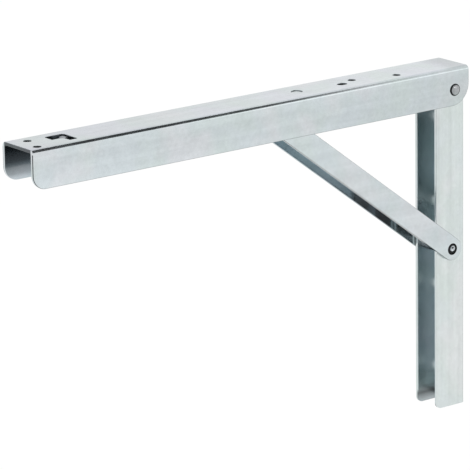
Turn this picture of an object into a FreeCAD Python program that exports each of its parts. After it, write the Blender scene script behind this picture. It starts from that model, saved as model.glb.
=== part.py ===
import FreeCAD, Part
import math
import os

# Folding bracket for a drop leaf table, in zinc-plated steel sheet.
#
# A U-channel arm carries the leaf. Its wall end turns on a rivet through a U-channel leg that is
# screwed to the wall. Two flat bars brace the arm: they turn on a flush rivet low on the leg, and
# their top ends slide along inside the arm on a cross pin with a bush. A spring strip under the
# arm has a lanced tab in front of the bush. Pulling the strip down lets the bush run forward, and
# the arm folds down over the bars and the leg.
#
# Frame: the wall is the plane Y = 0, the arm points along -Y, Z is up and X runs across. The
# origin is the centre of the row of wall screw holes, in the leg's back face. The bracket is
# modelled open, with the arm level. Along the arm, "reach" is the distance from the arm's wall end
# and "drop" is the depth below the arm's top face.

# Sheet and play
SHEET = 2.0              # steel sheet of the arm and the leg
BAR_SHEET = 2.0          # steel of the strut bars
BEND_R = 2.6             # outside radius of every fold of the channels
ARM_SIDE_PLAY = 0.25     # strut bar to arm, each side
LEG_SIDE_PLAY = 0.35     # strut bar to leg, each side
TOP_PLAY = 0.2           # strut bar's round end to the underside of the arm's top
FOLD_GAP = 0.8           # leg to the underside of the arm's top, when open and when folded
TURNING_PLAY = 0.05      # radial and side play of every piece that turns on a rivet
SEAT_PLAY = 0.02         # rivet in a hole that it doesn't turn in

# Arm
ARM_LENGTH = 300.0
ARM_WIDTH = 28.0
ARM_HEIGHT = 22.0
ARM_WALL_GAP = 1.1       # wall end of the arm to the wall
ARM_FRONT_CORNER_R = 8.0
ARM_REAR_CORNER_R = 12.0

# Leg
LEG_BELOW_TABLE = 202.0  # foot of the leg below the arm's top face
LEG_FOOT_CORNER_R = 3.5

# Pivots
PIVOTS_FROM_WALL = 11.5
HINGE_DROP = 12.8        # arm hinge below the arm's top face
FOOT_BELOW_HINGE = 94.2  # strut foot rivet below the arm hinge

# Strut
BAR_WIDTH = 13.2
STRUT_CENTRES = 162.0    # foot rivet to slide pin

# Rivets, washers, sleeves and bush
RIVET_D = 5.0
HINGE_HEAD_D = 6.9
HINGE_HEAD_H = 1.5
FLUSH_HEAD_D = 5.8
FLUSH_HEAD_H = 1.3
FLUSH_RING_GAP = 0.35    # dark ring between a flush head and its countersink
FLUSH_SET_BACK = 0.1     # flush head below the bar's face
DISH_D = 3.4
DISH_DEPTH = 0.9
WASHER_D = 9.0
SLEEVE_D = 8.0
BUSH_D = 7.0

# Screw holes
WALL_SCREW_D = 5.0
WALL_SCREW_PITCH = 50.0
WALL_SCREW_COUNT = 4
WALL_SCREW_FROM_FOOT = 17.0
LEAF_SCREW_D = 4.5
SLOT_EXTRA = 1.5         # the third rear hole is this much longer than it is wide
# Reach from the wall end and offset across, for the holes near the wall
REAR_NEAR_SCREW = (46.4, 5.6)
REAR_FAR_SCREW = (73.2, -1.3)
REAR_SLOT = (83.3, 2.6)
# Distance back from the front end and offset across, for the holes near the front
FRONT_NEAR_SCREW = (7.0, 8.2)
FRONT_FAR_SCREW = (10.1, -5.4)

# Window in the arm's top, with a keeper left standing in one corner beside the spring's hook
WINDOW_LENGTH = 12.2
WINDOW_WIDTH = 13.4
WINDOW_ACROSS = 0.7      # middle of the window to the middle of the arm
WINDOW_CORNER_R = 0.8
WINDOW_BEFORE_HOOK = 2.2 # middle of the window in front of the upright of the spring's hook
KEEPER_WIDTH = 6.2
KEEPER_LENGTH = 7.2
KEEPER_CORNER_R = 3.4

# Release spring and its rivet
SPRING_SHEET = 1.2
SPRING_WIDTH = 12.0
SPRING_BEND_R = 2.0      # inside radius of the strip's bends
SPRING_ROOT_MARGIN = 6.0 # strip on each side of its rivet that lies on the arm's top
SPRING_RAMP = 9.5        # run of the ramp from the arm's top down to the guide level
RAMP_TO_BUSH = 6.8       # level stretch between the ramp and the bush, when open
HOOK_WIDTH = 5.0
HOOK_ACROSS = -3.2       # middle of the hook to the middle of the arm
HOOK_DROP = 0.8          # top of the hook below the arm's top face
HOOK_TO_WINDOW = 0.4     # end of the hook to the wall end of the window
HOOK_SHOULDER_DROP = 8.0 # the strip narrows to the hook's width above this depth
BUSH_TO_SPRING = 0.25
BUSH_TO_TAB = 0.3
TAB_WIDTH = 6.0
TAB_CATCH = 2.2          # how far the tab stands up in front of the bush
TAB_SIDE_GAP = 0.3
SPRING_RIVET_D = 4.0
SPRING_RIVET_HEAD_D = 7.0
SPRING_RIVET_TAIL_D = 6.4
SPRING_RIVET_TAIL_H = 1.1

# Places that follow from the sizes
LEG_DEPTH = PIVOTS_FROM_WALL + HINGE_DROP - SHEET - FOLD_GAP
LEG_TOP_R = HINGE_DROP - SHEET - FOLD_GAP
FOOT_Z = -(WALL_SCREW_FROM_FOOT + WALL_SCREW_PITCH * (WALL_SCREW_COUNT - 1) / 2)
TABLE_Z = FOOT_Z + LEG_BELOW_TABLE
HINGE_Z = TABLE_Z - HINGE_DROP
STRUT_FOOT_Z = HINGE_Z - FOOT_BELOW_HINGE
PIVOT_Y = -PIVOTS_FROM_WALL

ARM_INSIDE_X = ARM_WIDTH / 2 - SHEET
BAR_OUTSIDE_X = ARM_INSIDE_X - ARM_SIDE_PLAY
BAR_INSIDE_X = BAR_OUTSIDE_X - BAR_SHEET
LEG_OUTSIDE_X = BAR_INSIDE_X - LEG_SIDE_PLAY
LEG_INSIDE_X = LEG_OUTSIDE_X - SHEET

SLIDE_DROP = SHEET + TOP_PLAY + BAR_WIDTH / 2
SLIDE_Z = TABLE_Z - SLIDE_DROP
SLIDE_Y = PIVOT_Y - math.sqrt(STRUT_CENTRES ** 2 - (SLIDE_Z - STRUT_FOOT_Z) ** 2)

RIVET_R = RIVET_D / 2
TURNING_HOLE_R = RIVET_R + TURNING_PLAY
SEAT_HOLE_R = RIVET_R + SEAT_PLAY

HALF_TURN = 180
X_AXIS = FreeCAD.Vector(1, 0, 0)

# Reach of the slide pin when the bracket is open, and when it is folded
OPEN_REACH = -SLIDE_Y - ARM_WALL_GAP
FOLDED_RUN = math.sqrt(STRUT_CENTRES ** 2 - (HINGE_DROP - SLIDE_DROP) ** 2)
FOLDED_REACH = PIVOTS_FROM_WALL - ARM_WALL_GAP + FOOT_BELOW_HINGE + FOLDED_RUN

# Reach of the places along the spring strip
RAMP_END = OPEN_REACH - BUSH_D / 2 - RAMP_TO_BUSH
RAMP_START = RAMP_END - SPRING_RAMP
SPRING_RIVET_REACH = RAMP_START - SPRING_ROOT_MARGIN
SPRING_ROOT = SPRING_RIVET_REACH - SPRING_ROOT_MARGIN
TAB_REACH = OPEN_REACH + BUSH_D / 2 + BUSH_TO_TAB
HOOK_REACH = FOLDED_REACH + BUSH_D / 2 + BUSH_TO_TAB
HOOK_LENGTH = WINDOW_LENGTH / 2 - WINDOW_BEFORE_HOOK - HOOK_TO_WINDOW
GUIDE_DROP = SLIDE_DROP + BUSH_D / 2 + BUSH_TO_SPRING


def reach_y(reach):
    """Y of a place on the arm, from its distance from the arm's wall end."""
    return -ARM_WALL_GAP - reach


def drop_z(drop):
    """Z of a place on the arm, from its depth below the arm's top face."""
    return TABLE_Z - drop


def corner_arc(before, corner, after, radius):
    """Start, middle and end of the arc of that radius that rounds a corner."""
    back = (before - corner).normalize()
    ahead = (after - corner).normalize()
    half_angle = back.getAngle(ahead) / 2
    run = radius / math.tan(half_angle)
    bisector = (back + ahead).normalize()
    centre = corner + bisector * (radius / math.sin(half_angle))
    return corner + back * run, centre - bisector * radius, corner + ahead * run


def rounded_face(points, radii):
    """Flat face inside a closed outline, with each corner rounded by its own radius or left sharp."""
    stops = []
    edges = []
    count = len(points)
    for index, corner in enumerate(points):
        if radii[index] > 0:
            start, middle, end = corner_arc(points[index - 1], corner,
                                            points[(index + 1) % count], radii[index])
            edges.append(Part.Arc(start, middle, end).toShape())
            stops.append((start, end))
        else:
            stops.append((corner, corner))
    for index in range(count):
        leave = stops[index][1]
        arrive = stops[(index + 1) % count][0]
        if leave.distanceToPoint(arrive) > 1e-6:
            edges.append(Part.LineSegment(leave, arrive).toShape())
    return Part.Face(Part.Wire(Part.sortEdges(edges)[0]))


def channel_face(width, depth):
    """U section in the XY plane: web along Y = 0, sides reaching to Y = -depth."""
    half = width / 2
    inside = half - SHEET
    outline = [(-half, -depth), (-half, 0), (half, 0), (half, -depth),
               (inside, -depth), (inside, -SHEET), (-inside, -SHEET), (-inside, -depth)]
    points = [FreeCAD.Vector(x, y, 0) for x, y in outline]
    inner_r = BEND_R - SHEET
    return rounded_face(points, [0, BEND_R, BEND_R, 0, 0, inner_r, inner_r, 0])


def side_prism(outline, radii, half_width):
    """Solid with a (y, z) outline, reaching the same distance to both sides of X = 0."""
    points = [FreeCAD.Vector(-half_width, y, z) for y, z in outline]
    return rounded_face(points, radii).extrude(FreeCAD.Vector(2 * half_width, 0, 0))


def cross_rod(radius, half_length, y, z):
    """Round rod along X, centred on X = 0."""
    start = FreeCAD.Vector(-half_length, y, z)
    return Part.makeCylinder(radius, 2 * half_length, start, X_AXIS)


def web_drill(diameter, x, y, top_z, depth):
    """Round cutter straight down from a height."""
    start = FreeCAD.Vector(x, y, top_z - depth)
    return Part.makeCylinder(diameter / 2, depth, start)


def turned_about_x(profile, y, z):
    """Solid of revolution about a line along X, from (x, radius) points or arcs between them."""
    edges = []
    for start, end, bulge in profile:
        first = FreeCAD.Vector(start[0], y, z + start[1])
        last = FreeCAD.Vector(end[0], y, z + end[1])
        if bulge:
            middle = FreeCAD.Vector(bulge[0], y, z + bulge[1])
            edges.append(Part.Arc(first, middle, last).toShape())
        else:
            edges.append(Part.LineSegment(first, last).toShape())
    face = Part.Face(Part.Wire(edges))
    return face.revolve(FreeCAD.Vector(0, y, z), X_AXIS, 360)


def ring(outer_r, inner_r, x_start, x_end, y, z):
    """Washer, sleeve or bush with its axis along X."""
    start = FreeCAD.Vector(x_start, y, z)
    body = Part.makeCylinder(outer_r, x_end - x_start, start, X_AXIS)
    return body.cut(Part.makeCylinder(inner_r, x_end - x_start, start, X_AXIS))


def arm_channel():
    """Arm: U channel with its open side down, round lower corners, holes and a window in its top."""
    section = channel_face(ARM_WIDTH, ARM_HEIGHT)
    section.rotate(FreeCAD.Vector(0, 0, 0), X_AXIS, 90)
    section.translate(FreeCAD.Vector(0, reach_y(0), TABLE_Z))
    arm = section.extrude(FreeCAD.Vector(0, -ARM_LENGTH, 0))
    rear, front = reach_y(0), reach_y(ARM_LENGTH)
    top, low = drop_z(0), drop_z(ARM_HEIGHT)
    side = side_prism([(rear, low), (rear, top), (front, top), (front, low)],
                      [ARM_REAR_CORNER_R, 0, 0, ARM_FRONT_CORNER_R], ARM_WIDTH)
    arm = arm.common(side)
    arm = arm.cut(cross_rod(TURNING_HOLE_R, ARM_WIDTH, PIVOT_Y, HINGE_Z))
    for reach, x in leaf_screw_places():
        arm = arm.cut(web_drill(LEAF_SCREW_D, x, reach_y(reach), TABLE_Z, 2 * SHEET))
    arm = arm.cut(long_hole(REAR_SLOT))
    arm = arm.cut(window_cutter())
    return arm.cut(spring_rivet_solid(SEAT_PLAY))


def leaf_screw_places():
    """Reach and offset of each round screw hole in the arm's top."""
    front = [(ARM_LENGTH - back, x) for back, x in (FRONT_NEAR_SCREW, FRONT_FAR_SCREW)]
    return [REAR_NEAR_SCREW, REAR_FAR_SCREW] + front


def long_hole(place):
    """Cutter for the hole that is a little longer along the arm than across it."""
    reach, x = place
    radius = LEAF_SCREW_D / 2
    half = SLOT_EXTRA / 2
    y, base = reach_y(reach), drop_z(2 * SHEET)
    corners = [(x - radius, y - half - radius), (x + radius, y - half - radius),
               (x + radius, y + half + radius), (x - radius, y + half + radius)]
    block = Part.Face(Part.makePolygon([FreeCAD.Vector(a, b, base) for a, b in corners + corners[:1]]))
    block = block.extrude(FreeCAD.Vector(0, 0, 2 * SHEET))
    return block.makeFillet(radius * 0.999, upright_edges(block))


def window_cutter():
    """Cutter for the window near the front of the arm's top, less the keeper in its corner."""
    side = WINDOW_ACROSS + WINDOW_WIDTH / 2
    front = reach_y(HOOK_REACH + WINDOW_BEFORE_HOOK + WINDOW_LENGTH / 2)
    base = drop_z(2 * SHEET)
    opening = Part.makeBox(WINDOW_WIDTH, WINDOW_LENGTH, 2 * SHEET,
                           FreeCAD.Vector(side - WINDOW_WIDTH, front, base))
    opening = opening.makeFillet(WINDOW_CORNER_R, upright_edges(opening))
    keeper = Part.makeBox(KEEPER_WIDTH, KEEPER_LENGTH, 2 * SHEET,
                          FreeCAD.Vector(side - KEEPER_WIDTH, front, base))
    free_corner = [edge for edge in upright_edges(keeper)
                   if edge.CenterOfMass.x < side - KEEPER_WIDTH / 2
                   and edge.CenterOfMass.y > front + KEEPER_LENGTH / 2]
    return opening.cut(keeper.makeFillet(KEEPER_CORNER_R, free_corner))


def upright_edges(block):
    """Edges of a block that run along Z."""
    return [edge for edge in block.Edges
            if abs(edge.Vertexes[0].Z - edge.Vertexes[-1].Z) > edge.Length / 2]


def wall_leg_channel():
    """Leg: U channel with its web on the wall, its top end rounded about the arm hinge."""
    section = channel_face(2 * LEG_OUTSIDE_X, LEG_DEPTH)
    section.translate(FreeCAD.Vector(0, 0, FOOT_Z))
    top = HINGE_Z + LEG_TOP_R
    leg = section.extrude(FreeCAD.Vector(0, 0, top - FOOT_Z))
    side = side_prism([(0, FOOT_Z), (0, top), (-LEG_DEPTH, top), (-LEG_DEPTH, FOOT_Z)],
                      [0, 0, LEG_TOP_R, LEG_FOOT_CORNER_R], ARM_WIDTH)
    leg = leg.common(side)
    for z in (HINGE_Z, STRUT_FOOT_Z):
        leg = leg.cut(cross_rod(SEAT_HOLE_R, ARM_WIDTH, PIVOT_Y, z))
    for index in range(WALL_SCREW_COUNT):
        z = (index - (WALL_SCREW_COUNT - 1) / 2) * WALL_SCREW_PITCH
        start = FreeCAD.Vector(0, -2 * SHEET, z)
        leg = leg.cut(Part.makeCylinder(WALL_SCREW_D / 2, 4 * SHEET, start, FreeCAD.Vector(0, 1, 0)))
    return leg


def strut_bar(side):
    """Flat bar with round ends, from the foot rivet to the slide pin, on the side given by +1 or -1."""
    radius = BAR_WIDTH / 2
    foot = FreeCAD.Vector(0, PIVOT_Y, STRUT_FOOT_Z)
    slide = FreeCAD.Vector(0, SLIDE_Y, SLIDE_Z)
    along = (slide - foot).normalize()
    across = X_AXIS.cross(along)
    corner_a, corner_b = foot + across * radius, slide + across * radius
    corner_c, corner_d = slide - across * radius, foot - across * radius
    edges = [Part.LineSegment(corner_a, corner_b).toShape(),
             Part.Arc(corner_b, slide + along * radius, corner_c).toShape(),
             Part.LineSegment(corner_c, corner_d).toShape(),
             Part.Arc(corner_d, foot - along * radius, corner_a).toShape()]
    inner_x = min(side * BAR_INSIDE_X, side * BAR_OUTSIDE_X)
    bar = Part.Face(Part.Wire(edges)).extrude(FreeCAD.Vector(BAR_SHEET, 0, 0))
    bar.translate(FreeCAD.Vector(inner_x, 0, 0))
    bar = bar.cut(countersunk_hole(side, PIVOT_Y, STRUT_FOOT_Z, TURNING_HOLE_R))
    return bar.cut(countersunk_hole(side, SLIDE_Y, SLIDE_Z, SEAT_HOLE_R))


def countersunk_hole(side, y, z, hole_r):
    """Cutter through a bar: a round hole with a straight-walled recess for a flush rivet head."""
    recess_r = FLUSH_HEAD_D / 2 + FLUSH_RING_GAP
    depth = FLUSH_HEAD_H + FLUSH_SET_BACK
    hole = cross_rod(hole_r, ARM_WIDTH, y, z)
    start = FreeCAD.Vector(side * (BAR_OUTSIDE_X - depth), y, z)
    recess = Part.makeCylinder(recess_r, depth + SHEET, start, X_AXIS * side)
    return hole.fuse(recess)


def flush_rivet(y, z):
    """Rivet across the strut: small heads set into the bars, with dished ends."""
    face = BAR_OUTSIDE_X - FLUSH_SET_BACK
    neck = face - FLUSH_HEAD_H + TURNING_PLAY
    head_r, dish_r = FLUSH_HEAD_D / 2, DISH_D / 2
    edge = (head_r - dish_r) / 2
    right = [((0, 0), (0, RIVET_R), None), ((0, RIVET_R), (neck, RIVET_R), None),
             ((neck, RIVET_R), (neck, head_r), None), ((neck, head_r), (face - edge, head_r), None),
             ((face - edge, head_r), (face, head_r - edge), None),
             ((face, head_r - edge), (face, dish_r), None),
             ((face, dish_r), (face - DISH_DEPTH, 0), None),
             ((face - DISH_DEPTH, 0), (0, 0), None)]
    half = turned_about_x(right, y, z)
    other = half.copy()
    other.rotate(FreeCAD.Vector(0, y, z), FreeCAD.Vector(0, 0, 1), HALF_TURN)
    return half.fuse(other).removeSplitter()


def strut_foot_rivet():
    """Flush rivet that the strut turns on, through the leg."""
    return flush_rivet(PIVOT_Y, STRUT_FOOT_Z)


def slide_pin():
    """Flush rivet through the top ends of the bars, inside the arm."""
    return flush_rivet(SLIDE_Y, SLIDE_Z)


def arm_hinge_rivet():
    """Rivet with a domed head outside each side of the arm."""
    seat = ARM_WIDTH / 2 + TURNING_PLAY
    head_r = HINGE_HEAD_D / 2
    crown = seat + HINGE_HEAD_H
    sphere_r = (head_r ** 2 + HINGE_HEAD_H ** 2) / (2 * HINGE_HEAD_H)
    middle_r = head_r / 2
    middle_x = crown - sphere_r + math.sqrt(sphere_r ** 2 - middle_r ** 2)
    right = [((0, 0), (0, RIVET_R), None), ((0, RIVET_R), (seat, RIVET_R), None),
             ((seat, RIVET_R), (seat, head_r), None),
             ((seat, head_r), (crown, 0), (middle_x, middle_r)),
             ((crown, 0), (0, 0), None)]
    half = turned_about_x(right, PIVOT_Y, HINGE_Z)
    other = half.copy()
    other.rotate(FreeCAD.Vector(0, PIVOT_Y, HINGE_Z), FreeCAD.Vector(0, 0, 1), HALF_TURN)
    return half.fuse(other).removeSplitter()


def hinge_washer(side):
    """Thick washer on the hinge rivet, between the leg and the arm, as wide as the space for a bar."""
    near = LEG_OUTSIDE_X + TURNING_PLAY
    far = ARM_INSIDE_X - TURNING_PLAY
    start, end = sorted((side * near, side * far))
    return ring(WASHER_D / 2, SEAT_HOLE_R, start, end, PIVOT_Y, HINGE_Z)


def leg_sleeve(z):
    """Spacer sleeve on a rivet inside the leg, which keeps the sides apart when the rivet is set."""
    half = LEG_INSIDE_X - SEAT_PLAY
    return ring(SLEEVE_D / 2, SEAT_HOLE_R, -half, half, PIVOT_Y, z)


def slide_bush():
    """Bush on the slide pin, between the bars."""
    half = BAR_INSIDE_X - TURNING_PLAY
    return ring(BUSH_D / 2, TURNING_HOLE_R, -half, half, SLIDE_Y, SLIDE_Z)


def spring_path():
    """Strip's inner side, as (reach, drop): root, ramp, guide level, upright of the hook, hook."""
    hook_under = HOOK_DROP + SPRING_SHEET
    return [(SPRING_ROOT, SHEET), (RAMP_START, SHEET), (RAMP_END, GUIDE_DROP),
            (HOOK_REACH, GUIDE_DROP), (HOOK_REACH, hook_under),
            (HOOK_REACH - HOOK_LENGTH, hook_under)]


def strip_outline(path, thickness):
    """Closed outline of a strip: the path, and the same path moved to its outer side, mitred."""
    offset = []
    for index, point in enumerate(path):
        normals = []
        for start, end in ((index - 1, index), (index, index + 1)):
            if start >= 0 and end < len(path):
                run = path[end] - path[start]
                normals.append(X_AXIS.cross(run).normalize())
        mitre = normals[0] + normals[-1]
        offset.append(point + mitre * (2 * thickness / mitre.Length ** 2))
    return path + offset[::-1]


def release_spring():
    """Spring strip: riveted under the arm, ramped down under the bush, hooked up into the window."""
    path = [FreeCAD.Vector(-SPRING_WIDTH / 2, reach_y(reach), drop_z(drop))
            for reach, drop in spring_path()]
    outline = strip_outline(path, SPRING_SHEET)
    inner, outer = SPRING_BEND_R, SPRING_BEND_R + SPRING_SHEET
    radii = [0, outer, inner, inner, inner, 0, 0, outer, outer, outer, inner, 0]
    strip = rounded_face(outline, radii).extrude(FreeCAD.Vector(SPRING_WIDTH, 0, 0))
    strip = strip.cut(hook_trim())
    strip = strip.cut(tab_opening())
    strip = strip.fuse(catch_tab()).removeSplitter()
    hole = web_drill(SPRING_RIVET_D + 2 * SEAT_PLAY, 0, reach_y(SPRING_RIVET_REACH),
                     TABLE_Z, 4 * SHEET)
    return strip.cut(hole)


def hook_trim():
    """Cutter that narrows the strip to the hook, from its shoulders up."""
    length = HOOK_LENGTH + 4 * SPRING_SHEET
    y = reach_y(HOOK_REACH + 2 * SPRING_SHEET)
    left, right = HOOK_ACROSS - HOOK_WIDTH / 2, HOOK_ACROSS + HOOK_WIDTH / 2
    blocks = []
    for start, end in ((-SPRING_WIDTH / 2, left), (right, SPRING_WIDTH / 2)):
        corner = FreeCAD.Vector(start, y, drop_z(HOOK_SHOULDER_DROP))
        blocks.append(Part.makeBox(end - start, length, HOOK_SHOULDER_DROP, corner))
    return Part.makeCompound(blocks)


def catch_tab():
    """Tab that stands up from the strip in front of the bush."""
    height = SPRING_SHEET + BUSH_TO_SPRING + TAB_CATCH
    corner = FreeCAD.Vector(-TAB_WIDTH / 2, reach_y(TAB_REACH + SPRING_SHEET),
                            drop_z(GUIDE_DROP + SPRING_SHEET))
    return Part.makeBox(TAB_WIDTH, SPRING_SHEET, height, corner)


def tab_opening():
    """Cutter for the opening in the strip that the tab was lanced out of."""
    length = SPRING_SHEET + BUSH_TO_SPRING + TAB_CATCH + TAB_SIDE_GAP
    width = TAB_WIDTH + 2 * TAB_SIDE_GAP
    corner = FreeCAD.Vector(-width / 2, reach_y(TAB_REACH + SPRING_SHEET + length),
                            drop_z(GUIDE_DROP + 2 * SPRING_SHEET))
    return Part.makeBox(width, length, 4 * SPRING_SHEET, corner)


def spring_rivet_solid(extra):
    """Rivet of the spring strip: head flush in the arm's top, tail under the strip."""
    y = reach_y(SPRING_RIVET_REACH)
    shank_r = SPRING_RIVET_D / 2 + extra
    head_r = SPRING_RIVET_HEAD_D / 2 + extra
    head_h = head_r - shank_r
    head = Part.makeCone(shank_r, head_r, head_h, FreeCAD.Vector(0, y, drop_z(head_h)))
    tail_top = SHEET + SPRING_SHEET
    shank = web_drill(2 * shank_r, 0, y, drop_z(0), tail_top)
    tail = web_drill(SPRING_RIVET_TAIL_D, 0, y, drop_z(tail_top), SPRING_RIVET_TAIL_H)
    return head.fuse([shank, tail]).removeSplitter()


def release_spring_rivet():
    """Flush-headed rivet that holds the spring strip to the arm."""
    return spring_rivet_solid(0)


def pieces():
    """Every piece of the bracket by its name."""
    return {
        "arm_channel": arm_channel(),
        "wall_leg_channel": wall_leg_channel(),
        "strut_bar_left": strut_bar(-1),
        "strut_bar_right": strut_bar(1),
        "arm_hinge_rivet": arm_hinge_rivet(),
        "hinge_washer_left": hinge_washer(-1),
        "hinge_washer_right": hinge_washer(1),
        "hinge_spacer_sleeve": leg_sleeve(HINGE_Z),
        "strut_foot_rivet": strut_foot_rivet(),
        "foot_spacer_sleeve": leg_sleeve(STRUT_FOOT_Z),
        "slide_pin": slide_pin(),
        "slide_bush": slide_bush(),
        "release_spring": release_spring(),
        "release_spring_rivet": release_spring_rivet(),
    }


os.makedirs("parts", exist_ok=True)
for name, shape in pieces().items():
    shape.exportStep(os.path.join("parts", name + ".step"))
    print(name, "solids", len(shape.Solids), "valid", shape.isValid(), "volume", round(shape.Volume, 1))
print("slide pin at Y", round(SLIDE_Y, 3), "Z", round(SLIDE_Z, 3))
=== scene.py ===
# %% [markdown]
# A folding bracket for a drop leaf table, in bright zinc plated steel. A wall leg, an arm and a
# strut make a triangle that folds flat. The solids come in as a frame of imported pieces, at
# their real size and place. This script dresses them: it softens cut edges, spins the rivets
# anew with rounder heads, gives each finish a material, and lights the bracket like a shop
# photograph on white paper. All lengths are in metres, and most are written as millimetres
# times MM.

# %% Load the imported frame
import math
import bmesh
import bpy
from mathutils import Matrix, Vector


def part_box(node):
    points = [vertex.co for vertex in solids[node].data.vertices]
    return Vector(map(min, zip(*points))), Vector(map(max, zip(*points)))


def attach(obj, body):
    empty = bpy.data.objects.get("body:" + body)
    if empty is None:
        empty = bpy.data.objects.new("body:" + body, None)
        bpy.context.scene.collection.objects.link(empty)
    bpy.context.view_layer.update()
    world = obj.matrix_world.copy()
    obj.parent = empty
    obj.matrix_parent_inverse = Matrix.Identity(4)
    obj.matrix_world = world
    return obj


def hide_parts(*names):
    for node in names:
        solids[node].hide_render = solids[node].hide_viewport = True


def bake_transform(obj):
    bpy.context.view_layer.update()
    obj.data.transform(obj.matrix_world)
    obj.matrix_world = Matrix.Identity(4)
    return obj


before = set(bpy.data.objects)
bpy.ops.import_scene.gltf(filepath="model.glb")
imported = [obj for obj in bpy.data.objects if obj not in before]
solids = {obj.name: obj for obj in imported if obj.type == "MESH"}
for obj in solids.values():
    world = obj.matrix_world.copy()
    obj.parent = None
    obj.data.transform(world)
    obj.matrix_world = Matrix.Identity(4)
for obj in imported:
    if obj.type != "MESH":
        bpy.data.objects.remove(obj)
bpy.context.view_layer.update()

MM = 0.001
collection = bpy.context.scene.collection

# %% [markdown]
# The photograph was taken from beyond the free end of the arm, on its right and a little above
# it, with a long lens, so the arm's long edges stay almost parallel. The camera's place was
# found from the straight edges and rivets that both the picture and the solids have. A camera
# can be aimed with a Track To constraint, but three axes of its own also keep the small tilt
# that the picture has.

# %% Camera
VIEW_AZIMUTH, VIEW_ELEVATION, VIEW_ROLL = 52.778, 15.503, -0.964
VIEW_TARGET = Vector((0, -150, 30)) * MM
VIEW_DISTANCE, VIEW_RIGHT, VIEW_UP = 2082.9 * MM, 7.21 * MM, -3.95 * MM
FOCAL_PIXELS, PICTURE_PIXELS, SENSOR_MM = 3771.0, 470, 36.0
NEAREST_SEEN, FARTHEST_SEEN = 0.05, 60


def camera_axes(azimuth, elevation, roll):
    """Right, up and back of a camera that looks at the target."""
    a, e, r = map(math.radians, (azimuth, elevation, roll))
    back = Vector((math.sin(a) * math.cos(e), -math.cos(a) * math.cos(e), math.sin(e)))
    level = Vector((math.cos(a), math.sin(a), 0))
    upright = back.cross(level)
    right = level * math.cos(r) + upright * math.sin(r)
    up = upright * math.cos(r) - level * math.sin(r)
    return right, up, back


right, up, back = camera_axes(VIEW_AZIMUTH, VIEW_ELEVATION, VIEW_ROLL)
lens = bpy.data.cameras.new("studio_camera")
lens.sensor_width = SENSOR_MM
lens.lens = FOCAL_PIXELS / PICTURE_PIXELS * SENSOR_MM
lens.clip_start, lens.clip_end = NEAREST_SEEN, FARTHEST_SEEN
camera = bpy.data.objects.new("studio_camera", lens)
collection.objects.link(camera)
camera.location = VIEW_TARGET - right * VIEW_RIGHT - up * VIEW_UP + back * VIEW_DISTANCE
camera.rotation_mode = "QUATERNION"
camera.rotation_quaternion = Matrix((right, up, back)).transposed().to_quaternion()
bpy.context.scene.camera = camera
print("Lens in mm:", round(lens.lens, 1))

# %% [markdown]
# Each finish below is a small tree of shader nodes. It could be wired by hand in the Shader
# Editor. Here one helper makes a node, sets its values and wires its inputs, so that a finish
# reads as a short recipe and can be made again for the next piece.

# %% Node helpers
def wire(tree, kind, *ordered, **named):
    """A new node. Inputs are given in order, or by name with _ for a space; None skips one."""
    node = tree.nodes.new(kind)
    for name, value in named.items():
        if hasattr(node, name):
            setattr(node, name, value)
    inputs = dict(enumerate(ordered))
    inputs.update((k.replace("_", " "), v) for k, v in named.items() if not hasattr(node, k))
    for key, value in inputs.items():
        if isinstance(value, bpy.types.NodeSocket):
            tree.links.new(value, node.inputs[key])
        elif value is not None:
            node.inputs[key].default_value = value
    return node


def noise(tree, place, scale, detail=3.0, roughness=0.5, stretch=(1, 1, 1), turn=(0, 0, 0)):
    """Grey noise of about 1/scale metres a wave, stretched and turned before it is drawn."""
    mapped = wire(tree, "ShaderNodeMapping", Vector=place, Rotation=turn, Scale=stretch)
    made = wire(tree, "ShaderNodeTexNoise", Vector=mapped.outputs[0], Scale=scale,
                Detail=detail, Roughness=roughness)
    return made.outputs[0]


def spread(tree, value, low, high, new_low, new_high):
    """value from low..high to new_low..new_high, held at the ends."""
    made = wire(tree, "ShaderNodeMapRange", value, low, high, new_low, new_high)
    return made.outputs[0]


def blend_colour(tree, share, first, second):
    """A mix of two colours, given as (r, g, b) or as sockets."""
    mix = wire(tree, "ShaderNodeMix", data_type="RGBA")
    for key, value in ((0, share), (6, first), (7, second)):
        if isinstance(value, bpy.types.NodeSocket):
            tree.links.new(value, mix.inputs[key])
        else:
            mix.inputs[key].default_value = (*value, 1) if key else value
    return mix.outputs[2]


print("Node helpers: wire, noise, spread, blend_colour")

# %% [markdown]
# A mask is a grey value that says where a finish changes. It could be painted on an unwrapped
# map. These are worked out from Object coordinates instead, which are metres in the frame,
# because every piece stays at the origin. So a mask needs no map, and stays sharp up close.

# %% Mask helpers
def scaled(tree, colour, tone):
    """A colour times a grey value."""
    return wire(tree, "ShaderNodeVectorMath", colour, operation="SCALE", Scale=tone).outputs[0]


def times(tree, first, second):
    return wire(tree, "ShaderNodeMath", first, second, operation="MULTIPLY").outputs[0]


def plus(tree, first, second):
    return wire(tree, "ShaderNodeMath", first, second, operation="ADD").outputs[0]


def mixed(tree, share, first, second):
    """first where share is 0, second where it is 1."""
    step = plus(tree, second, times(tree, first, -1.0))
    return plus(tree, times(tree, share, step), first)


def ramp(tree, place_along, start, end, first, last):
    """first up to start and last from end on, both places in mm, and an even change between."""
    return spread(tree, place_along, start * MM, end * MM, first, last)


def split(tree, place):
    """Distance from the middle plane, and y and z, each as a socket."""
    x, y, z = wire(tree, "ShaderNodeSeparateXYZ", place).outputs
    return wire(tree, "ShaderNodeMath", x, operation="ABSOLUTE").outputs[0], y, z


def side_of(tree, place):
    """x itself: above 0 on the near side, below 0 on the far side."""
    return wire(tree, "ShaderNodeSeparateXYZ", place).outputs[0]


def from_axis(tree, place, y, z):
    """Distance from a line along X through y and z."""
    mapped = wire(tree, "ShaderNodeMapping", Vector=place, Location=(0, -y, -z), Scale=(0, 1, 1))
    return wire(tree, "ShaderNodeVectorMath", mapped.outputs[0], operation="LENGTH").outputs[1]


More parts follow.
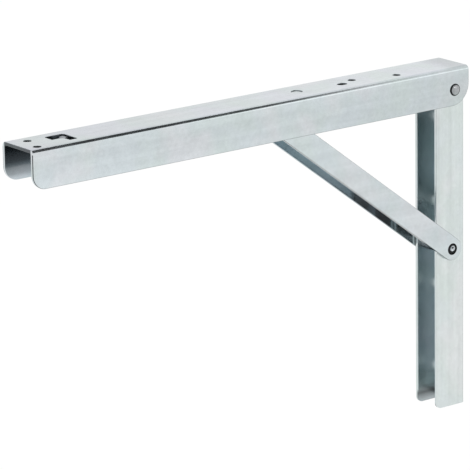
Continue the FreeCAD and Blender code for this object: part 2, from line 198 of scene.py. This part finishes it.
def corners_in_mm(node_name):
    """The lowest and the highest corner of a solid, from its points, which are in the frame."""
    axes = list(zip(*(point.co for point in solids[node_name].data.vertices)))
    return [[round(pick(axis) / MM, 2) for axis in axes] for pick in (min, max)]


print("Mask helpers: scaled, times, plus, mixed, ramp, split, side_of, from_axis")

# %% [markdown]
# Little light gets into a deep channel or a punched hole, so the arm is darker inside, as painted
# shade. Outside, its tone drifts along its length as a painted reflection of the uneven paper that
# it mirrors, and the top is darker at the wall end as painted shade. The rim of each side is dark,
# partly as a punched edge is and partly as painted shade, and the top face has patches of lilac, as
# passivation leaves them.

# %% Mask of the arm
RIM_DULL_AND_SHADE = 0.15


def arm_depth(tree, place):
    """1 deep inside the channel and its holes, the painted shade inside, the painted tone outside,
    and the share of lilac."""
    across, y, z = split(tree, place)
    between_sides = ramp(tree, across, 12.15, 12.35, 1, 0)
    under_top = ramp(tree, z, 109.72, 109.88, 1, 0)
    on_top = ramp(tree, z, 109.3, 109.9, 0, 1)
    # Painted reflection along the sides and the top, and painted shade on the top at the wall end.
    side_painted_reflection = ramp(tree, y, -290, -10, 0.985, 0.885)
    wall_end_shade = ramp(tree, y, -19, -10, 1, 0.78)
    top_painted_reflection_and_shade = times(tree, ramp(tree, y, -300, -60, 0.83, 0.94), wall_end_shade)
    # The rims: a punched edge's dull band, darkened further as painted shade.
    rim = times(tree, ramp(tree, across, 13.4, 13.55, 0, 1), ramp(tree, across, 13.97, 13.99, 1, 0))
    rim = times(tree, rim, ramp(tree, z, 88.5, 92, 0.75, 1))
    rim = times(tree, rim, ramp(tree, z, 107.2, 107.4, 1, 0))
    outer_painted_tone = mixed(tree, rim, mixed(tree, on_top, side_painted_reflection, top_painted_reflection_and_shade), RIM_DULL_AND_SHADE)
    # Painted shade inside, lighter at the channel's mouth and darker up under the top.
    mouth = ramp(tree, z, 89, 91.5, 0.9, 0.52)
    inside_painted_shade = times(tree, mouth, ramp(tree, z, 91.5, 98, 1, 0.35))
    lilac = times(tree, on_top, spread(tree, noise(tree, place, 30, 2), 0.5, 0.62, 0, 1))
    return times(tree, between_sides, under_top), inside_painted_shade, outer_painted_tone, lilac


print("Arm, lowest and highest corner in mm:", corners_in_mm("arm_channel"))

# %% [markdown]
# The leg is darker inside too, and gets darker up under the arm, both as painted shade, which also
# reaches onto the inner part of its cut edges. At its foot each side has a dark line of painted
# shade, and on the far side the plate lightens again below it. The camera sees the far side's mark
# directly, and the near side's only as a reflection in the far side, so each side has a mark of its
# own. The plate is also darker along the bends at its back, as painted shade.

# %% Mask of the leg
PAINTED_BEND_SHADE = 0.76


def leg_depth(tree, place):
    """The same four values for the leg."""
    across, y, z = split(tree, place)
    # Painted shade inside, reaching onto the inner part of the cut edges.
    inside = times(tree, ramp(tree, across, 8.0, 8.3, 1, 0), ramp(tree, y, -1.9, -1.7, 1, 0))
    near_side = ramp(tree, side_of(tree, place), -7, 7, 0, 1)
    # Painted shade: a dark line above the foot on each side, lightening again below it on the far
    # side, and darker up under the arm.
    far_painted_shade = times(tree, ramp(tree, z, -86.2, -84, 0.32, 1), ramp(tree, z, -91.5, -87, 2.1, 1))
    near_painted_shade = ramp(tree, z, -90, -88.5, 0.12, 1)
    painted_shade_under_arm = ramp(tree, z, 45, 92, 0.97, 0.78)
    inside_painted_shade = times(tree, painted_shade_under_arm, mixed(tree, near_side, far_painted_shade, near_painted_shade))
    # Painted shade along the bends at the back.
    bend = times(tree, ramp(tree, across, 8.6, 9.0, 0, 1), ramp(tree, y, -2.4, -1.2, 0, 1))
    outer_painted_tone = mixed(tree, bend, ramp(tree, z, -60, 90, 1.0, 0.95), PAINTED_BEND_SHADE)
    return inside, inside_painted_shade, outer_painted_tone, 0.0


print("Leg, lowest and highest corner in mm:", corners_in_mm("wall_leg_channel"))

# %% [markdown]
# The strut's two bars mirror each other, and it gets darker between them towards the foot, as
# painted shade. Their outer rims are dark, partly as punched edges are and partly as painted shade.
# The near bar's whole cut edge is dark in the picture and the far bar's isn't, so the painted shade
# starts further in on the near side.

# %% Mask of the strut's bars
BAR_TONE, FAR_RIM_START, NEAR_RIM_START = 0.95, 11.42 * MM, 10.1 * MM


def bar_depth(tree, place):
    """The same four values for the bars."""
    across, y = split(tree, place)[:2]
    inside = ramp(tree, across, 9.85, 10.05, 1, 0)
    # Painted shade between the bars, darker towards the foot.
    inside_painted_shade = ramp(tree, y, -65, -40, 0.9, 0.68)
    # The rims: a punched edge's dull band, darkened further as painted shade, more on the near bar.
    rim_start = ramp(tree, side_of(tree, place), -1, 1, FAR_RIM_START, NEAR_RIM_START)
    rim = times(tree, spread(tree, across, rim_start, 11.5 * MM, 0, 1),
                ramp(tree, across, 11.72, 11.74, 1, 0))
    return inside, inside_painted_shade, mixed(tree, rim, BAR_TONE, RIM_DULL_AND_SHADE), 0.0


print("Near bar, lowest and highest corner in mm:", corners_in_mm("strut_bar_right"))

# %% [markdown]
# Bright zinc plating on rolled steel sheet is a thin, satin metal that mirrors the white paper
# round it with a soft blur. Up close it has pale clouds of blue, green and pink where the
# passivation took differently, small grains and stains, and fine lines along the sheet from the
# rolling mill. The mottling could be a photographed texture, but noise has no seams and stays
# sharp at any distance.

# %% Mottling of the plate
GREEN_CAST, BLUE_CAST, PINK_CAST = (0.96, 0.99, 0.975), (0.985, 0.995, 1.03), (1.07, 1.02, 1.045)
GRAIN, STAIN, LINE, BAND = 0.055, 0.045, 0.025, 0.045


def cast(colour, factors):
    """A colour whose red, green and blue are each multiplied."""
    return tuple(c * k for c, k in zip(colour, factors))


def mottled(tree, place, colour, cloud):
    """The plate's tint: greenish, with clouds of blue and a blush of pink."""
    clouds = spread(tree, noise(tree, place, 48, 4, 0.55), 0.4, 0.6, 0, cloud)
    blush = spread(tree, noise(tree, place, 31, 3, 0.5, turn=(0.4, 0.2, 0.9)), 0.5, 0.64, 0, cloud)
    tint = blend_colour(tree, clouds, cast(colour, GREEN_CAST), cast(colour, BLUE_CAST))
    return blend_colour(tree, blush, tint, cast(colour, PINK_CAST))


def grain_tone(tree, place, lines, bands, cloud):
    """A grey value near 1 with grains, stains and the rolling mill's lines and bands."""
    grains = noise(tree, place, 420, 4, 0.65)
    stains = noise(tree, place, 130, 4, 0.6)
    tone = plus(tree, spread(tree, grains, 0.3, 0.7, -GRAIN * cloud, GRAIN * cloud),
                spread(tree, stains, 0.35, 0.65, 1 - STAIN * cloud, 1 + STAIN * cloud))
    tone = plus(tree, tone, spread(tree, lines, 0.3, 0.7, -LINE, LINE))
    return plus(tree, tone, spread(tree, bands, 0.3, 0.7, -BAND, BAND))


print("Casts on the zinc's colour:", GREEN_CAST, BLUE_CAST, PINK_CAST)

# %% [markdown]
# Black rings round the hinge rivet, the foot rivet and the slide pin are grease in the joints and
# painted shade in the gaps and dishes there, and a slight orange peel ripples the plate. The rings
# could be thin pieces of their own. As part of the finish they can't hover over the metal, and they
# fade at their edges.

# %% Grease, painted shade and orange peel
GREASE_AND_SHADE = (0.02, 0.022, 0.024)
INNER_FADE, OUTER_FADE = 0.15, 0.2


def tint_with_grease_and_shade(tree, place, tint, rings):
    """The tint with grease and painted shade. Each ring goes round an axis along X and is given as
    the axis's y and z, two radii in mm, and how far in mm it lies off the axis, up and towards the
    wall, which sets the painted shade off-centre."""
    for (y, z), inner, outer, shift in rings:
        radius = from_axis(tree, place, y + shift * MM, z + shift * MM)
        ring = times(tree, ramp(tree, radius, inner - INNER_FADE, inner, 0, 1),
                     ramp(tree, radius, outer, outer + OUTER_FADE, 1, 0))
        tint = blend_colour(tree, ring, tint, GREASE_AND_SHADE)
    return tint


def orange_peel(tree, place, lines):
    """A surface direction that ripples with the rolling lines and with softer waves."""
    fine = wire(tree, "ShaderNodeBump", Height=lines, Strength=0.05, Distance=0.02 * MM)
    waves = noise(tree, place, 330, 2, 0.5)
    wavy = wire(tree, "ShaderNodeBump", Height=waves, Strength=0.05, Distance=0.3 * MM,
                Normal=fine.outputs[0])
    return wavy.outputs[0]


print("Grease colour:", GREASE_AND_SHADE)

# %% [markdown]
# Metallic is 1, so the base colour is the colour of the reflection. Deep inside a channel no hand
# or tool rubs the plate, so it can be smoother there and has a faint milky film, made by lowering
# Metallic a little. The leg is the exception, and a little duller inside. The base colour is also
# darker and bluer inside, as painted shade. One function with a few values makes every zinc finish,
# so they look like parts of one batch.

# %% Zinc plate
INSIDE_SHADE_COLOUR, LILAC = (0.905, 0.94, 0.972), (0.645, 0.678, 0.728)
SHINIEST, DULLEST = 0.82, 1.2


def plated_zinc(name, colour, satin, along=(1, 1, 1), turn=(0, 0, 0), cloud=1.0, depth=None,
                deep_shine=0.05, deep_haze=0.02, grease_and_shade_rings=()):
    """Zinc plate. satin is its roughness. along is small on the axis that the rolling lines
    follow, after the turn. deep_shine is how much smoother the plate is deep inside, or duller
    where it is below 0, and deep_haze is the share of the milky film there."""
    material = bpy.data.materials.new(name)
    material.use_nodes = True
    tree = material.node_tree
    shader = tree.nodes["Principled BSDF"]
    shader.inputs["Metallic"].default_value = 1.0
    place = tree.nodes.new("ShaderNodeTexCoord").outputs["Object"]
    lines = noise(tree, place, 500, 4, 0.6, stretch=along, turn=turn)
    bands = noise(tree, place, 170, 1, 0.5, stretch=along, turn=turn)
    tint = mottled(tree, place, colour, cloud)
    tone = grain_tone(tree, place, lines, bands, cloud)
    dull = spread(tree, noise(tree, place, 65, 5, 0.6), 0.3, 0.7, satin * SHINIEST, satin * DULLEST)
    if depth:
        inside, inside_painted_shade, outer_painted_tone, lilac = depth(tree, place)
        tint = blend_colour(tree, lilac, tint, LILAC)
        # Painted shade: a bluer, darker tint and the painted shade inside, and the painted tone
        # outside.
        shade = blend_colour(tree, inside, (1, 1, 1), INSIDE_SHADE_COLOUR)
        tint = wire(tree, "ShaderNodeVectorMath", tint, shade, operation="MULTIPLY").outputs[0]
        tone = times(tree, tone, mixed(tree, inside, outer_painted_tone, inside_painted_shade))
        dull = plus(tree, dull, times(tree, inside, -deep_shine))
        bare = spread(tree, inside, 0, 1, 1, 1 - deep_haze)
        tree.links.new(bare, shader.inputs["Metallic"])
    tint = tint_with_grease_and_shade(tree, place, scaled(tree, tint, tone), grease_and_shade_rings)
    tree.links.new(tint, shader.inputs["Base Color"])
    tree.links.new(dull, shader.inputs["Roughness"])
    tree.links.new(orange_peel(tree, place, lines), shader.inputs["Normal"])
    print("Finish", name, "with", len(tree.nodes), "nodes")
    return material


# %% [markdown]
# The rolling lines run along the arm, up the leg and down the slope of the strut. The hinge rivet's
# domes look dark and blotchy in the picture, and are made so. The sleeves inside the leg are made
# dark, as oil and dust would leave them. One material with switches could do it all, but a finish
# of its own for each kind of piece is easier to read and to change. The rings of grease and painted
# shade need the lines along X that the rivets and the slide pin lie on, which are written as y and
# z. The middle of a rivet's box would be near, but a round head made of flat faces isn't quite even
# about its line.

# %% Zinc finishes
HINGE, FOOT, SLIDE = (-11.5 * MM, 97.2 * MM), (-11.5 * MM, 3 * MM), (-140.344 * MM, 101.2 * MM)
ALONG_Y, ALONG_Z = (1, 0.03, 1), (1, 1, 0.03)
STRUT_SLOPE = math.radians(-37.3)
SHEET_COLOUR, LEG_COLOUR = (0.64, 0.69, 0.70), (0.68, 0.724, 0.716)

arm_zinc = plated_zinc("arm_zinc", SHEET_COLOUR, 0.16, ALONG_Y, cloud=0.75, depth=arm_depth,
                       grease_and_shade_rings=[(HINGE, 3.1, 3.45, 0)])
leg_zinc = plated_zinc("leg_zinc", LEG_COLOUR, 0.2, ALONG_Z, cloud=0.6, depth=leg_depth,
                       deep_shine=-0.04)
strut_zinc = plated_zinc("strut_zinc", SHEET_COLOUR, 0.16, ALONG_Y, (STRUT_SLOPE, 0, 0), cloud=0.62,
                         depth=bar_depth, deep_shine=0.1, deep_haze=0.07,
                         grease_and_shade_rings=[(FOOT, 2.2, 3.2, 0), (SLIDE, 2.2, 3.2, 0)])
dome_zinc = plated_zinc("dome_zinc", (0.34, 0.37, 0.37), 0.25, cloud=3.0,
                        grease_and_shade_rings=[(HINGE, 2.9, 4, 0)])
# Painted shade: a dark band round each dish of the foot rivet and the slide pin, and a dark dot in
# its floor.
pin_zinc = plated_zinc("pin_zinc", (0.5, 0.53, 0.54), 0.25, cloud=0.8,
                       grease_and_shade_rings=[(FOOT, 1.7, 5, 0.3), (FOOT, 0, 0.5, 0.6),
                                (SLIDE, 1.7, 5, 0.3), (SLIDE, 0, 0.5, 0.6)])
rivet_zinc = plated_zinc("rivet_zinc", (0.60, 0.64, 0.65), 0.22, cloud=0.6)
turned_zinc = plated_zinc("turned_zinc", (0.5, 0.52, 0.53), 0.25, cloud=0.4)
oily_zinc = plated_zinc("oily_zinc", (0.27, 0.285, 0.3), 0.3, cloud=0.4)
spring_zinc = plated_zinc("spring_zinc", (0.3, 0.31, 0.33), 0.2, ALONG_Y, cloud=0.5)

# %% [markdown]
# The shapes of the sheet pieces are right already in the frame, which must not be touched. So
# each is copied, and in the copy its loose triangles are merged and its flat faces joined. The
# solids could be shown as they are, but edges are only rounded well between clean, whole faces.

# %% Copy a solid
MERGE_WITHIN, FLAT_WITHIN = 0.02 * MM, math.radians(0.4)


def merged_copy(node_name):
    """A bmesh of a solid with its triangles joined up into clean faces."""
    shape = bmesh.new()
    shape.from_mesh(solids[node_name].data)
    bmesh.ops.remove_doubles(shape, verts=shape.verts, dist=MERGE_WITHIN)
    bmesh.ops.dissolve_limit(shape, angle_limit=FLAT_WITHIN, verts=shape.verts,
                             edges=shape.edges, use_dissolve_boundaries=False)
    return shape


def piece_from(shape, name):
    """A linked object from a bmesh, which is freed."""
    mesh = bpy.data.meshes.new(name)
    shape.to_mesh(mesh)
    shape.free()
    piece = bpy.data.objects.new(name, mesh)
    collection.objects.link(piece)
    return piece


print("Solids in the frame:", len(solids))

# %% [markdown]
# Punched, folded and plated sheet has no sharp edge. A Bevel modifier would round every square
# edge. The operator takes a list of edges, which leaves out the inside corners. Weighted normals
# then keep the flat faces looking flat beside their small bevels.

# %% Soften a copy of a solid
SQUARE_EDGE, SHARP_EDGE = math.radians(40), math.radians(50)
FLAT_FACE_WEIGHT = 80


def square_edges(shape):
    """Outside edges that a tool would round."""
    return [edge for edge in shape.edges if len(edge.link_faces) == 2
            and edge.calc_face_angle(0) > SQUARE_EDGE and edge.is_convex]


def round_edges(shape, radius, segments):
    """Bevels the square edges of a bmesh."""
    bmesh.ops.bevel(shape, geom=square_edges(shape), offset=radius, offset_type="OFFSET",
                    segments=segments, profile=0.5, affect="EDGES", material=-1,
                    clamp_overlap=False)


def smooth_normals(piece):
    """Smooth shading that keeps flat faces flat beside their small bevels."""
    for face in piece.data.polygons:
        face.use_smooth = True
    piece.data.set_sharp_from_angle(angle=SHARP_EDGE)
    weighted = piece.modifiers.new("flat_faces_first", "WEIGHTED_NORMAL")
    weighted.keep_sharp = True
    weighted.weight = FLAT_FACE_WEIGHT


def softened(node_name, name, radius, segments=3):
    """A copy of a solid whose square edges have a small radius."""
    shape = merged_copy(node_name)
    round_edges(shape, radius, segments)
    piece = piece_from(shape, name)
    smooth_normals(piece)
    return piece


print("Edges over", round(math.degrees(SQUARE_EDGE)), "degrees are rounded")

# %% [markdown]
# The arm and the leg are folded sheet, and the strut is two flat bars. The bars catch a thinner
# line of light along their edges in the picture, so their radius is smaller.

# %% Arm, leg and strut
FOLDED_EDGE, BAR_EDGE = 0.34 * MM, 0.24 * MM


def dress(piece, body, slot_name, material, *node_names):
    """Finish, ride and replace in one go."""
    piece.data.materials.clear()
    piece.data.materials.append(material)
    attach(piece, body)
    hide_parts(*node_names)
    print(piece.name, "faces:", len(piece.data.polygons))


for node_name, name, radius, body, material in (
        ("arm_channel", "arm_sheet", FOLDED_EDGE, "arm", arm_zinc),
        ("wall_leg_channel", "wall_leg_sheet", FOLDED_EDGE, "leg", leg_zinc),
        ("strut_bar_left", "strut_bar_far", BAR_EDGE, "strut", strut_zinc),
        ("strut_bar_right", "strut_bar_near", BAR_EDGE, "strut", strut_zinc)):
    dress(softened(node_name, name, radius), body, "zinc_sheet", material, node_name)

# %% [markdown]
# Washers and sleeves on the rivets keep the sheets apart, and a bush rolls between the bars in
# the arm. They are plain rings, so their solids only need softer edges. They could be spun like
# the rivets below, but they hardly show.

# %% Washers, sleeves and bush
RING_EDGE, RING_SEGMENTS = 0.2 * MM, 2
for node_name, name, body, material in (
        ("hinge_washer_left", "hinge_washer_far", "leg", turned_zinc),
        ("hinge_washer_right", "hinge_washer_near", "leg", turned_zinc),
        ("hinge_spacer_sleeve", "hinge_sleeve", "leg", oily_zinc),
        ("foot_spacer_sleeve", "foot_sleeve", "leg", oily_zinc),
        ("slide_bush", "slide_roller", "strut", turned_zinc)):
    ring = softened(node_name, name, RING_EDGE, RING_SEGMENTS)
    dress(ring, body, "zinc_turned", material, node_name)

# %% [markdown]
# Rivets and pins are round about their own line. So each is one outline from end to end, as on
# a lathe drawing, that is spun round that line. A cylinder with a bevel would be quicker, but it
# has no lip and no dish. Outlines are in mm, as distance along the line and out from it.

# %% Spin an outline
SPIN_STEPS, SHANK_R = 64, 2.5
SEAM_MERGE = 0.005 * MM


def arc(centre, radius, start, stop, count):
    """Points (along, out) on part of a circle, with angles in degrees from the spin axis."""
    points = []
    for step in range(count + 1):
        angle = math.radians(start + (stop - start) * step / count)
        points.append((centre[0] + radius * math.cos(angle), centre[1] + radius * math.sin(angle)))
    return points


def spun(name, outline, centre, axis=(1, 0, 0), outward=(0, 0, 1)):
    """A round solid: outline is (along, out) in mm, from one end on the axis to the other."""
    shape = bmesh.new()
    along, out, middle = Vector(axis), Vector(outward), Vector(centre)
    ring = [shape.verts.new(middle + (along * a + out * r) * MM) for a, r in outline]
    edges = [shape.edges.new(pair) for pair in zip(ring, ring[1:])]
    bmesh.ops.spin(shape, geom=ring + edges, cent=middle, axis=along, angle=math.tau,
                   steps=SPIN_STEPS, use_merge=True)
    bmesh.ops.remove_doubles(shape, verts=shape.verts, dist=SEAM_MERGE)
    bmesh.ops.recalc_face_normals(shape, faces=shape.faces)
    piece = piece_from(shape, name)
    smooth_normals(piece)
    return piece


def both_ends(half):
    """The outline of a rivet that is the same at both ends, from the half at +along."""
    return [(-a, r) for a, r in reversed(half)] + half


print("Spun pieces have", SPIN_STEPS, "faces round")

# %% [markdown]
# The press leaves the hinge rivet with full, domed heads and a small rounded lip where the dome
# meets the arm.

# %% Hinge rivet
DOME_SEAT, DOME_R = 14.05, 3.3
LIP_CENTRE, LIP_R = (14.3, 2.95), 0.42
CROWN_CENTRE, CROWN_R = (10.55, 0), 5
dome = [(DOME_SEAT, SHANK_R), (DOME_SEAT, DOME_R)]
dome += arc(LIP_CENTRE, LIP_R, 90, 45, 3)
dome += arc(CROWN_CENTRE, CROWN_R, 35, 0, 9)
hinge_rivet = spun("hinge_rivet", both_ends(dome), (0, *HINGE))
dress(hinge_rivet, "leg", "zinc_rivet", dome_zinc, "arm_hinge_rivet")

# %% [markdown]
# The foot rivet and the slide pin must lie below the bars' faces, so their heads are thin, and a
# spreading punch leaves a dish in their ends. One outline serves both.

# %% Foot rivet and slide pin
NECK, FLUSH_R, FACE = 10.4, 2.9, 11.65
RIM_CENTRE, RIM_R, FACE_R = (11.1, 2.5), 0.4, 2.3
DISH_R, DISH_FLOOR = 1.75, 10.85
flush = [(NECK, SHANK_R), (NECK, FLUSH_R)]
flush += arc(RIM_CENTRE, RIM_R, 85, 20, 3)
flush += [(FACE, FACE_R), (FACE, DISH_R), (FACE - 0.1, DISH_R - 0.15)]
flush += [(DISH_FLOOR + 0.1, 0.5), (DISH_FLOOR, 0)]
for name, body, centre, node_name in (("foot_rivet", "leg", FOOT, "strut_foot_rivet"),
                                      ("slide_rivet", "strut", SLIDE, "slide_pin")):
    dress(spun(name, both_ends(flush), (0, *centre)), body, "zinc_rivet", pin_zinc, node_name)

# %% [markdown]
# The strip's rivet stands upright in the arm's top. Its head lies just below the top face, so
# that the table leaf lies flat on the arm, and its tail is a low button under the strip.

# %% Strip rivet
low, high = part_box("release_spring_rivet")
head_y = (low[1] + high[1]) / 2
tail, top = low[2] / MM, high[2] / MM
TAIL_R, TAIL_H, TAIL_CORNER = 3.2, 1.1, 0.5
STRIP_SHANK_R, HEAD_R = 2, 2.78
button = [(tail, 0), (tail, TAIL_R - TAIL_CORNER), (tail + TAIL_CORNER, TAIL_R),
          (tail + TAIL_H, TAIL_R), (tail + TAIL_H, STRIP_SHANK_R)]
head = [(top - 1.5, STRIP_SHANK_R), (top - 0.75, 2.72), (top - 0.58, HEAD_R), (top - 0.45, 2.6),
        (top - 0.36, 1.4), (top - 0.34, 0)]
strip_rivet = spun("strip_rivet", button + head, (0, head_y, 0), (0, 0, 1), (1, 0, 0))
dress(strip_rivet, "arm", "zinc_rivet", rivet_zinc, "release_spring_rivet")

# %% [markdown]
# The release spring is one strip of spring steel. Its root is riveted under the arm's top, and its
# free end bends when a finger pushes the hook in the window. A rigid strip would tear from its
# rivet, so the strip is cut into short lengths.

# %% Release spring
BEND_START, BEND_END, BEND_STEP = -119.6 * MM, -131.0 * MM, 1.0 * MM
STRIP_EDGE, STRIP_SEGMENTS = 0.15 * MM, 2
strip_shape = merged_copy("release_spring")
low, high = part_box("release_spring")
print("Strip from y =", round(low[1] / MM, 1), "to", round(high[1] / MM, 1), "mm")
cut = BEND_START
while cut > BEND_END:
    everything = strip_shape.verts[:] + strip_shape.edges[:] + strip_shape.faces[:]
    bmesh.ops.bisect_plane(strip_shape, geom=everything, plane_co=(0, cut, 0), plane_no=(0, 1, 0))
    cut -= BEND_STEP
round_edges(strip_shape, STRIP_EDGE, STRIP_SEGMENTS)
strip = piece_from(strip_shape, "release_strip")
smooth_normals(strip)
strip.data.materials.append(spring_zinc)
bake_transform(strip)
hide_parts("release_spring")
print("release_strip faces:", len(strip.data.polygons))

# %% [markdown]
# White paper lies below the bracket. It could be lit until it is white, but that takes strong
# lamps, which would also burn out the metal. So it glows for the camera and for reflections,
# and is plain matt paper for the light. From below it can be seen through, so that a view from
# there isn't blocked.

# %% Paper floor
FLOOR_Z, FLOOR_SIZE = -0.5, 60
PAPER_WHITE, PAPER_GLOW, GLOW_SHARE = (0.95, 0.95, 0.95, 1), 1.02, 0.88


def flat_card(name, size_x, size_y, place):
    """A level rectangle."""
    shape = bmesh.new()
    matrix = Matrix.Translation(place) @ Matrix.Diagonal((size_x / 2, size_y / 2, 1, 1))
    bmesh.ops.create_grid(shape, x_segments=1, y_segments=1, size=1, matrix=matrix)
    card = piece_from(shape, name)
    return card


def plain_material(name):
    """A material without any node, and its tree."""
    material = bpy.data.materials.new(name)
    material.use_nodes = True
    material.node_tree.nodes.clear()
    return material, material.node_tree


floor = flat_card("paper_floor", FLOOR_SIZE, FLOOR_SIZE, (0, 0, FLOOR_Z))
paper, tree = plain_material("white_paper")
rays = tree.nodes.new("ShaderNodeLightPath").outputs
seen = wire(tree, "ShaderNodeMath", rays["Is Camera Ray"], rays["Is Glossy Ray"],
            operation="MAXIMUM")
seen = wire(tree, "ShaderNodeMath", seen.outputs[0], rays["Is Transmission Ray"],
            operation="MAXIMUM")
share = times(tree, seen.outputs[0], GLOW_SHARE)
matt = wire(tree, "ShaderNodeBsdfDiffuse", PAPER_WHITE)
glow = wire(tree, "ShaderNodeEmission", (1, 1, 1, 1), PAPER_GLOW)
both = wire(tree, "ShaderNodeMixShader", share, matt.outputs[0], glow.outputs[0])
side = tree.nodes.new("ShaderNodeNewGeometry").outputs["Backfacing"]
clear = wire(tree, "ShaderNodeBsdfTransparent", (1, 1, 1, 1))
open_below = wire(tree, "ShaderNodeMixShader", side, both.outputs[0], clear.outputs[0])
wire(tree, "ShaderNodeOutputMaterial", open_below.outputs[0])
floor.data.materials.append(paper)
print("Paper floor at z =", FLOOR_Z, "m")

# %% [markdown]
# Everything round the bracket is white too, which lights it softly from all sides and gives the
# metal something white to mirror. A picture of a studio could do that, but plain white is what
# the photograph shows. The Standard view keeps that white, where a film-like one would grey it.

# %% World
world = bpy.data.worlds.new("white_surround")
bpy.context.scene.world = world
world.use_nodes = True
surround = world.node_tree.nodes["Background"]
surround.inputs["Color"].default_value = (1, 1, 1, 1)
surround.inputs["Strength"].default_value = 1.0
bpy.context.scene.view_settings.view_transform = "Standard"
print("Surround strength:", surround.inputs["Strength"].default_value)

# %% [markdown]
# A black card is bent round above the bracket and behind the line of the wall. The arm's rounded
# top edge mirrors it, which draws the thin dark line along that edge. The card narrows and fades
# at its far end, because the line fades towards the wall end in the picture. It is hidden from
# the camera and dims nothing, so it shows only in reflections.

# %% Black card
CARD_AWAY, CARD_FROM, CARD_TO = 0.7, math.radians(31), math.radians(103)
CARD_NEAR, CARD_KNEE, CARD_FAR = 0.06, 0.27, 0.54
FADE_START, FADE_END = 0.40, 0.52
CARD_NARROWING, CARD_STEPS = 0.75, 16
CARD_BLACK = (0.04, 0.042, 0.045, 1)


def glossy_only(piece):
    """Seen in the metal, but not by the camera, and it dims nothing."""
    piece.visible_camera = piece.visible_diffuse = piece.visible_shadow = False


edge_middle = Vector((0.014, 0, 0.110))
reach = Vector((math.cos(CARD_FROM), 0, math.sin(CARD_FROM))) * CARD_AWAY
shape = bmesh.new()
ends = [shape.verts.new(edge_middle + reach + Vector((0, y, 0)))
        for y in (CARD_NEAR, CARD_KNEE, CARD_FAR)]
sides = [shape.edges.new(pair) for pair in zip(ends, ends[1:])]
bmesh.ops.spin(shape, geom=ends + sides, cent=edge_middle, axis=(0, -1, 0),
               angle=CARD_TO - CARD_FROM, steps=CARD_STEPS)
for corner in shape.verts:
    if corner.co.y > (CARD_KNEE + CARD_FAR) / 2:
        arm_out = corner.co - edge_middle
        angle = math.atan2(arm_out.z, arm_out.x)
        turn = ((CARD_FROM + CARD_TO) / 2 - angle) * CARD_NARROWING
        corner.co = edge_middle + Matrix.Rotation(-turn, 3, "Y") @ arm_out
card = piece_from(shape, "black_card")

black, tree = plain_material("black_card")
along_card = split(tree, tree.nodes.new("ShaderNodeTexCoord").outputs["Object"])[1]
fade = spread(tree, along_card, FADE_START, FADE_END, 0, 1)
clear = wire(tree, "ShaderNodeBsdfTransparent", (1, 1, 1, 1))
dark = wire(tree, "ShaderNodeBsdfDiffuse", CARD_BLACK)
soft = wire(tree, "ShaderNodeMixShader", fade, dark.outputs[0], clear.outputs[0])
wire(tree, "ShaderNodeOutputMaterial", soft.outputs[0])
card.data.materials.append(black)
glossy_only(card)
print("Black card faces:", len(card.data.polygons))

# %% [markdown]
# A studio isn't white all round, and the metal mirrors its dark parts. One dark card lies on the
# floor in front of the bracket, past the free end of the arm, and a small one hangs up on the
# left. Both are hidden as the black card is.

# %% Dark cards
DARK_ROOM = (0.05, 0.05, 0.055, 1)
dark_floor, tree = plain_material("dark_floor")
room = wire(tree, "ShaderNodeBsdfDiffuse", DARK_ROOM)
wire(tree, "ShaderNodeOutputMaterial", room.outputs[0])
for name, size_x, size_y, place in (("dark_floor", 3.4, 2.2, (1.4, -2.9, FLOOR_Z + 0.01)),
                                    ("dark_corner", 0.5, 0.5, (-0.92, -0.62, 0.8))):
    flag = flat_card(name, size_x, size_y, place)
    flag.data.materials.append(dark_floor)
    glossy_only(flag)
    print(name, "is", size_x, "by", size_y, "m")

# %% [markdown]
# Two lamps add to the white surround. The softbox is aimed just past the wall end of the arm's
# rounded edge, and the glint lamp at the near head of the hinge rivet. A point lamp would do for
# a glint, but an area lamp has a size and a shape that the metal can mirror.

# %% Softboxes
def softbox(name, place, target, size, watts):
    """A rectangular lamp that faces its target."""
    lamp = bpy.data.lights.new(name, "AREA")
    lamp.shape = "RECTANGLE"
    lamp.size, lamp.size_y = size
    lamp.energy = watts
    holder = bpy.data.objects.new(name, lamp)
    collection.objects.link(holder)
    holder.location = place
    holder.rotation_mode = "QUATERNION"
    holder.rotation_quaternion = (Vector(target) - Vector(place)).to_track_quat("-Z", "Y")
    holder.visible_camera = False
    print(name, "gives", watts, "W")


softbox("side_softbox", place=(0.93, 0.74, 0.455), target=(0.014, 0.03, 0.108),
        size=(0.34, 0.4), watts=0.17)
softbox("glint_lamp", place=(3.4, 1.1, 1.65), target=(0.015, -0.012, 0.097),
        size=(0.3, 0.3), watts=5.0)
